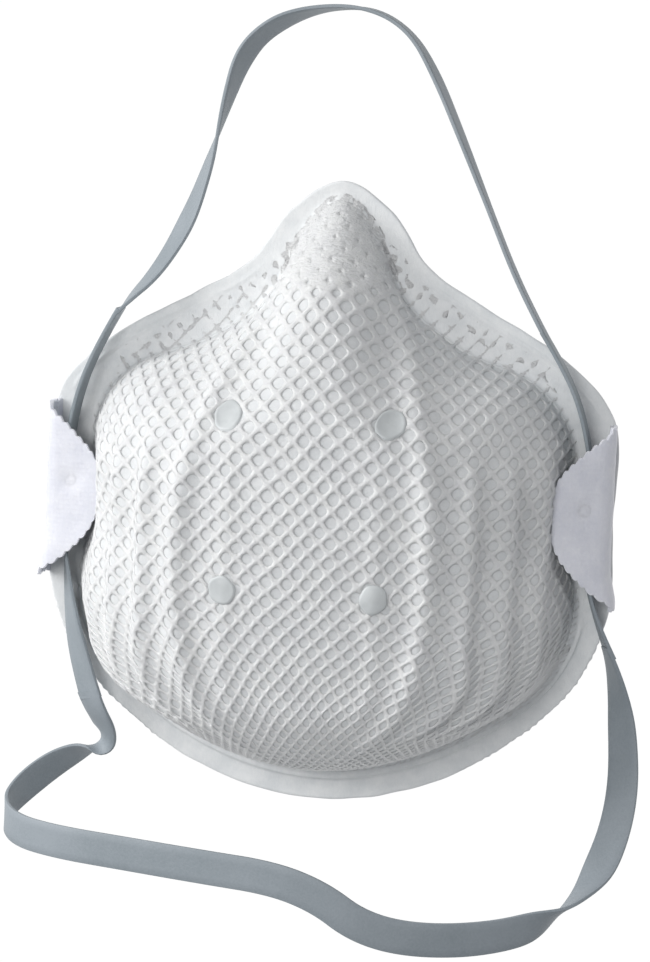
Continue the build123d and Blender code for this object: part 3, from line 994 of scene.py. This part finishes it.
def add_band(name, route):
    """A flat band along a route of (place, direction of the width)."""
    places = np.array([place for place, _ in route], float)
    widths = np.array([width for _, width in route], float)
    line = smooth_line(places)
    walked = np.concatenate([[0], np.cumsum(np.linalg.norm(np.diff(places, axis=0), axis=1))])
    share = walked / walked[-1]
    at = np.linspace(0, 1, len(line))
    across = np.stack([np.interp(at, share, column) for column in widths.T], axis=1)
    across = softened(across, 6)
    along = np.gradient(line, axis=0)
    along /= np.linalg.norm(along, axis=1, keepdims=True)
    across -= along * (across * along).sum(axis=1, keepdims=True)
    across /= np.linalg.norm(across, axis=1, keepdims=True)
    normal = np.cross(along, across)
    half, thin = STRAP_WIDTH / 2, STRAP_THICK / 2
    upper = [
        (-half + 0.25, thin), (-half / 2, thin * 0.94), (0, thin * 0.92), (half / 2, thin * 0.94),
        (half - 0.25, thin), (half - 0.06, thin * 0.7),
    ]
    left_edge = [(-half + 0.06, -thin * 0.7), (-half, 0), (-half + 0.06, thin * 0.7)]
    section = upper + [(half, 0)] + [(a, -b) for a, b in upper[::-1]] + left_edge
    grid = np.stack([line + across * a + normal * b for a, b in section], axis=1)
    rows, columns = grid.shape[:2]
    faces = [*grid_faces(rows, columns, closed_columns=True)]
    faces += [list(range(columns))[::-1], list(range((rows - 1) * columns, rows * columns))]
    band = add_piece(name, grid.reshape(-1, 3), faces, STRAP, 40)
    weld_points(band)
    return band, line


# %% The two runs through the tabs
FORWARD = (0, 1, 0)
LEFT_RUN = [
    ((-51.2, -6.3, 41.9), FORWARD),
    ((-57.2, -6.3, 31), FORWARD),
    ((-61.2, -6.3, 19), FORWARD),
    ((-63.1, -6.3, 5), FORWARD),
    ((-63.3, -6.3, -9), FORWARD),
    ((-61.7, -6.3, -26), (-0.4, 0.92, 0)),
    ((-59, -6.3, -41), (-0.72, 0.7, 0)),
    ((-55.2, -6.3, -52.3), (-0.8, 0.6, 0)),
]
RIGHT_RUN = [
    ((48.8, -6.3, 41.6), FORWARD),
    ((54.6, -6.3, 33), FORWARD),
    ((59.4, -6.3, 22.5), FORWARD),
    ((62.4, -6.3, 8), FORWARD),
    ((62.2, -6.3, -7), FORWARD),
    ((61.8, -6.3, -15), (-0.1, 1, 0)),
    ((64.5, -6.3, -25), (-0.15, 0.98, 0)),
    ((68.8, -6.3, -34.2), (-0.32, 0.94, 0)),
]
for side, route in (("left", LEFT_RUN), ("right", RIGHT_RUN)):
    run, line = add_band(f"{side}_run_band", route)
    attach(run, "strap")
    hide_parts(f"{side}_strap_run")

# %% The head loop
OUTER_SHOWS = (-0.5, 0.8, 0.25)
HEAD_ROUTE = [
    ((-52.2, -6.3, 40.2), FORWARD),
    ((-49.9, -6.3, 43.4), (-0.15, 0.95, 0.1)),
    ((-43.5, -3.5, 50.5), (-0.36, 0.88, 0.2)),
    ((-37.2, 0, 62.5), OUTER_SHOWS),
    ((-32.8, 2.5, 77), (-0.33, 0.9, 0.12)),
    ((-29.5, 4.5, 92), (0.12, 1, 0)),
    ((-26, 6, 103.5), (0.4, 0.9, -0.15)),
    ((-19, 7, 110.5), (0.15, 0.9, -0.35)),
    ((-8, 7.5, 114.6), (0, 1, -0.1)),
    ((4, 7.5, 114.8), (0, 1, 0.05)),
    ((13.5, 7, 109.5), (0.05, 1, 0)),
    ((20, 5.5, 99.5), (0.1, 1, 0.05)),
    ((27, 3, 85), (0.08, 1, 0)),
    ((34.5, 0, 69), FORWARD),
    ((41.3, -3, 54.5), FORWARD),
    ((47.8, -6.3, 43.4), FORWARD),
    ((50.0, -6.3, 39.8), FORWARD),
]
head_band, line = add_band("head_loop_band", HEAD_ROUTE)
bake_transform(head_band)
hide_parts("head_loop")

# %% The neck loop
DOWN = (0, 0, -1)
NECK_ROUTE = [
    ((-56.0, -6.3, -50.5), (-0.8, 0.6, 0)),
    ((-54.5, -6.3, -54.2), (-0.8, 0.6, 0)),
    ((-52.3, -3, -59.5), (-0.8, 0.55, 0.1)),
    ((-52.9, 2, -64.8), (-0.45, 0.85, 0.1)),
    ((-58.8, 3, -67), (0, 0.75, -0.65)),
    ((-66, 0.5, -71), (0, 0.3, -0.95)),
    ((-72.3, -5, -76.6), DOWN),
    ((-74.2, -14, -80), DOWN),
    ((-69, -23, -82), DOWN),
    ((-57, -30.5, -82.3), DOWN),
    ((-40, -37.5, -82), DOWN),
    ((-20, -43, -82.4), DOWN),
    ((-3, -46, -83), DOWN),
    ((8, -46.5, -86.5), DOWN),
    ((16.5, -46, -92.4), DOWN),
    ((27, -44, -95.3), DOWN),
    ((41, -40, -95.6), DOWN),
    ((54, -34, -93.8), (0, 0.2, -0.98)),
    ((63.5, -27, -89.5), (-0.1, 1, -0.05)),
    ((70.3, -20.5, -80.5), (-0.95, 0.3, 0.05)),
    ((73.8, -14, -66), (-0.9, 0.43, 0)),
    ((72.6, -9, -50), (-0.8, 0.6, 0)),
    ((69.3, -6.3, -35.7), (-0.35, 0.93, 0)),
    ((67.3, -6.3, -31.5), (-0.25, 0.95, 0)),
]
neck_band, line = add_band("neck_loop_band", NECK_ROUTE)
hinge = next(joint for joint in frame["joints"] if joint["name"] == "neck_loop_swing")
line_x, line_z = -hinge["axis"][0], -hinge["axis"][2]
down = Vector((line_z, 0, -line_x))
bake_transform(neck_band)
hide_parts("neck_loop")

# %% [markdown]
# The spot where a tab was tacked is a shallow dimple: a small dished disc in the hollow of the tab's
# front. Only the lapped end of the band keeps its CAD shape, and it needs nothing but the strap's finish.

# %% The tacks on the tabs, and the lapped end
TACK_DEPTH, TACK_LEAN = -11.85, -0.28  # the hollow's place and its slope towards the cup


def add_tack(name, side):
    """The dimple of a tab's weld. Side is -1 on the left and 1 on the right."""
    turn = np.linspace(0, 2 * math.pi, 32, endpoint=False)
    profile = [  # radius and height
        (0.3, 0.0), (0.9, 0.02), (1.4, 0.06), (1.75, 0.07), (2.0, -0.03), (2.05, -0.5), (1.0, -0.55),
    ]
    x, z = TAB_WELD_AT
    points = []
    for radius, height in profile:
        for t in turn:
            right, up = radius * math.cos(t), radius * math.sin(t)
            points.append((side * (x + right), TACK_DEPTH - TACK_LEAN * right - height, z + up))
    last = (len(profile) - 1) * len(turn)
    faces = [*grid_faces(len(profile), len(turn), closed_columns=True)]
    faces += [list(range(len(turn)))[::-1], list(range(last, last + len(turn)))]
    tack = add_piece(name + "_dimple", points, faces, TAB)
    weld_points(tack)
    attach(tack, "mask")
    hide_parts(name)


add_tack("left_tab_weld", -1)
add_tack("right_tab_weld", 1)
lap_end = frame["nodes"]["strap_lap_end"]
lap_end.data.materials.clear()
lap_end.data.materials.append(STRAP)

# %% [markdown]
# ## The studio
# White on white needs light with a direction. A large soft lamp stands high on the left, a weaker one
# stands in front, and the room before the mask stays dim, so that every strand of the netting throws its
# small shadow. Behind the mask the backdrop is white.

# %% Backdrop and lamps
ROOM_COLOUR = (0.35, 0.355, 0.365)
BACKDROP_COLOUR = (1.02, 1.02, 1.02)
LIT_POINT = (0, -0.02, 0)  # both lamps face it


def add_lamp(name, place, size, power):
    """A square lamp at a place (m), with its size in m and its power in watts."""
    lamp = bpy.data.objects.new(name, bpy.data.lights.new(name, "AREA"))
    lamp.data.size = size
    lamp.data.energy = power
    lamp.location = place
    towards = Vector(LIT_POINT) - Vector(place)
    lamp.rotation_euler = towards.to_track_quat("-Z", "Y").to_euler()
    bpy.context.scene.collection.objects.link(lamp)


def light_the_room():
    """A bright white backdrop behind the mask that fades to a dim room in front of it."""
    world = bpy.data.worlds.new("studio")
    bpy.context.scene.world = world
    world.use_nodes = True
    tree = world.node_tree
    direction = Value(tree, tree.nodes.new("ShaderNodeTexCoord").outputs["Generated"])
    depth = direction.node("ShaderNodeSeparateXYZ", output=1, Vector=direction)
    room = depth.between(-0.1, 0.75).colours((0.0, ROOM_COLOUR), (1.0, BACKDROP_COLOUR))
    feed(tree.nodes["Background"], "Color", room)
    tree.nodes["Background"].inputs["Strength"].default_value = 1.0


light_the_room()
add_lamp("key", (-1.05, -0.42, 0.42), 0.6, 11)
add_lamp("front", (-0.25, -1.3, 0.3), 0.5, 6.5)
bpy.context.scene.view_settings.view_transform = "Standard"
